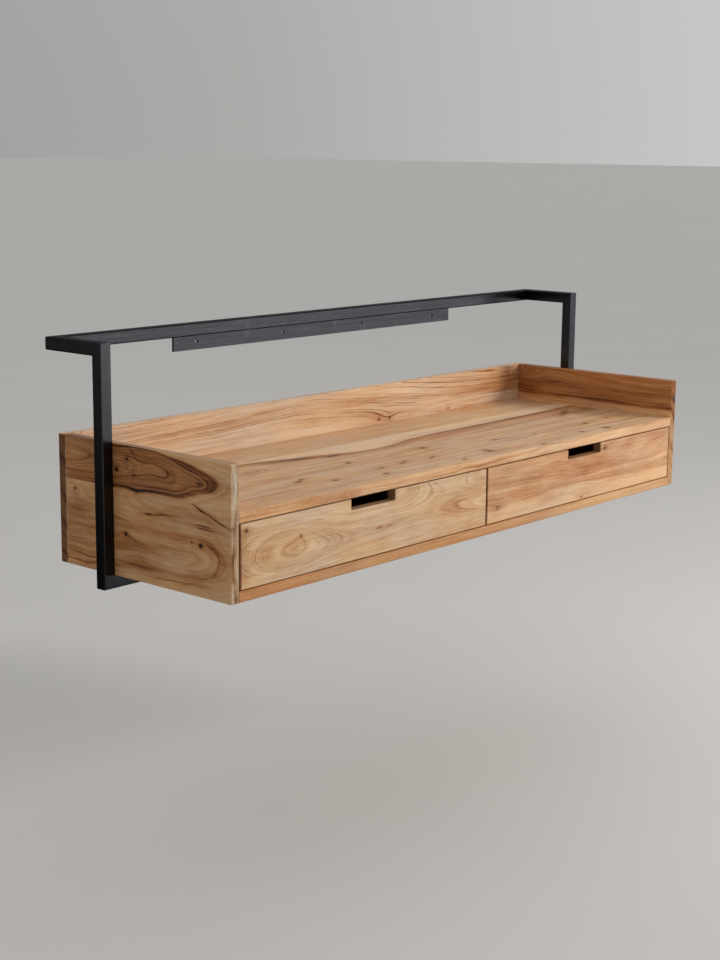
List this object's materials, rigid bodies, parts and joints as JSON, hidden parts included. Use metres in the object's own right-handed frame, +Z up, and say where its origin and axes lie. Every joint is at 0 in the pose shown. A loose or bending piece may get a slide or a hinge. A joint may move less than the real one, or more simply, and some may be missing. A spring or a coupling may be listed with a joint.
{
  "type": "floating wall desk",
  "caption": "Wall-hung desk: a shallow wooden tray over inset drawers with finger notches, carried by a black square-tube steel frame with a drilled wall strip.",
  "frame": {"origin": "on the wall plane, in the middle of the row of screw holes in the wall strip", "axes": "+X to the right seen from the front, +Y into the wall, +Z up; the drawers open towards -Y"},
  "size_m": [1.22, 0.37, 0.3705],
  "materials": {
    "left_panel_wood": "oiled, satin",
    "right_panel_wood": "oiled, satin",
    "back_wood": "oiled, satin",
    "top_wood": "oiled, satin",
    "bottom_wood": "oiled, satin",
    "divider_wood": "oiled, satin",
    "left_face_wood": "oiled, satin",
    "right_face_wood": "oiled, satin",
    "drawer_wood": "oiled, satin",
    "drawer_base_wood": "oiled, satin",
    "black_steel": "satin black powder coat",
    "runner_steel": "pale epoxy coat",
    "axle_steel": "zinc plated",
    "roller_nylon": "natural nylon",
    "screw_steel": "black oxide"
  },
  "bodies": {
    "frame_and_box": {"top_rail": "black_steel", "left_arm": "black_steel", "right_arm": "black_steel", "left_leg": "black_steel", "right_leg": "black_steel", "bottom_rail": "black_steel", "wall_bracket": "black_steel", "frame_screws": "screw_steel", "left_side_panel": "left_panel_wood", "right_side_panel": "right_panel_wood", "back_panel": "back_wood", "desk_top": "top_wood", "bottom_panel": "bottom_wood", "centre_divider": "divider_wood", "left_bay_left_rail": "runner_steel", "left_bay_right_rail": "runner_steel", "left_bay_axles": "axle_steel", "right_bay_left_rail": "runner_steel", "right_bay_right_rail": "runner_steel", "right_bay_axles": "axle_steel"},
    "left_front_wheels": {"left_bay_rollers": "roller_nylon"},
    "left_drawer": {"left_drawer_face": "left_face_wood", "left_drawer_front": "drawer_wood", "left_drawer_back": "drawer_wood", "left_drawer_left_side": "drawer_wood", "left_drawer_right_side": "drawer_wood", "left_drawer_bottom": "drawer_base_wood", "left_drawer_left_runner": "runner_steel", "left_drawer_right_runner": "runner_steel", "left_drawer_axles": "axle_steel"},
    "left_rear_wheels": {"left_drawer_rollers": "roller_nylon"},
    "right_front_wheels": {"right_bay_rollers": "roller_nylon"},
    "right_drawer": {"right_drawer_face": "right_face_wood", "right_drawer_front": "drawer_wood", "right_drawer_back": "drawer_wood", "right_drawer_left_side": "drawer_wood", "right_drawer_right_side": "drawer_wood", "right_drawer_bottom": "drawer_base_wood", "right_drawer_left_runner": "runner_steel", "right_drawer_right_runner": "runner_steel", "right_drawer_axles": "axle_steel"},
    "right_rear_wheels": {"right_drawer_rollers": "roller_nylon"}
  },
  "joints": [
    {"name": "left_drawer_slide", "type": "slide", "parent": "frame_and_box", "child": "left_drawer", "axis": [0, -1, 0], "range_m": [0, 0.225]},
    {"name": "left_front_wheels_turn", "type": "hinge", "parent": "frame_and_box", "child": "left_front_wheels", "pos_m": [-0.291, -0.338, -0.2815], "axis": [1, 0, 0], "range_deg": [0, 1440]},
    {"name": "left_rear_wheels_turn", "type": "hinge", "parent": "left_drawer", "child": "left_rear_wheels", "pos_m": [-0.291, -0.066, -0.2837], "axis": [1, 0, 0], "range_deg": [0, 1440]},
    {"name": "right_drawer_slide", "type": "slide", "parent": "frame_and_box", "child": "right_drawer", "axis": [0, -1, 0], "range_m": [0, 0.225]},
    {"name": "right_front_wheels_turn", "type": "hinge", "parent": "frame_and_box", "child": "right_front_wheels", "pos_m": [0.291, -0.338, -0.2815], "axis": [1, 0, 0], "range_deg": [0, 1440]},
    {"name": "right_rear_wheels_turn", "type": "hinge", "parent": "right_drawer", "child": "right_rear_wheels", "pos_m": [0.291, -0.066, -0.2837], "axis": [1, 0, 0], "range_deg": [0, 1440]}
  ],
  "couplings": [
    {"joint": "left_front_wheels_turn", "follows": "left_drawer_slide", "rad_per_m": 111.11},
    {"joint": "left_rear_wheels_turn", "follows": "left_drawer_slide", "rad_per_m": 111.11},
    {"joint": "right_front_wheels_turn", "follows": "right_drawer_slide", "rad_per_m": 111.11},
    {"joint": "right_rear_wheels_turn", "follows": "right_drawer_slide", "rad_per_m": 111.11}
  ]
}
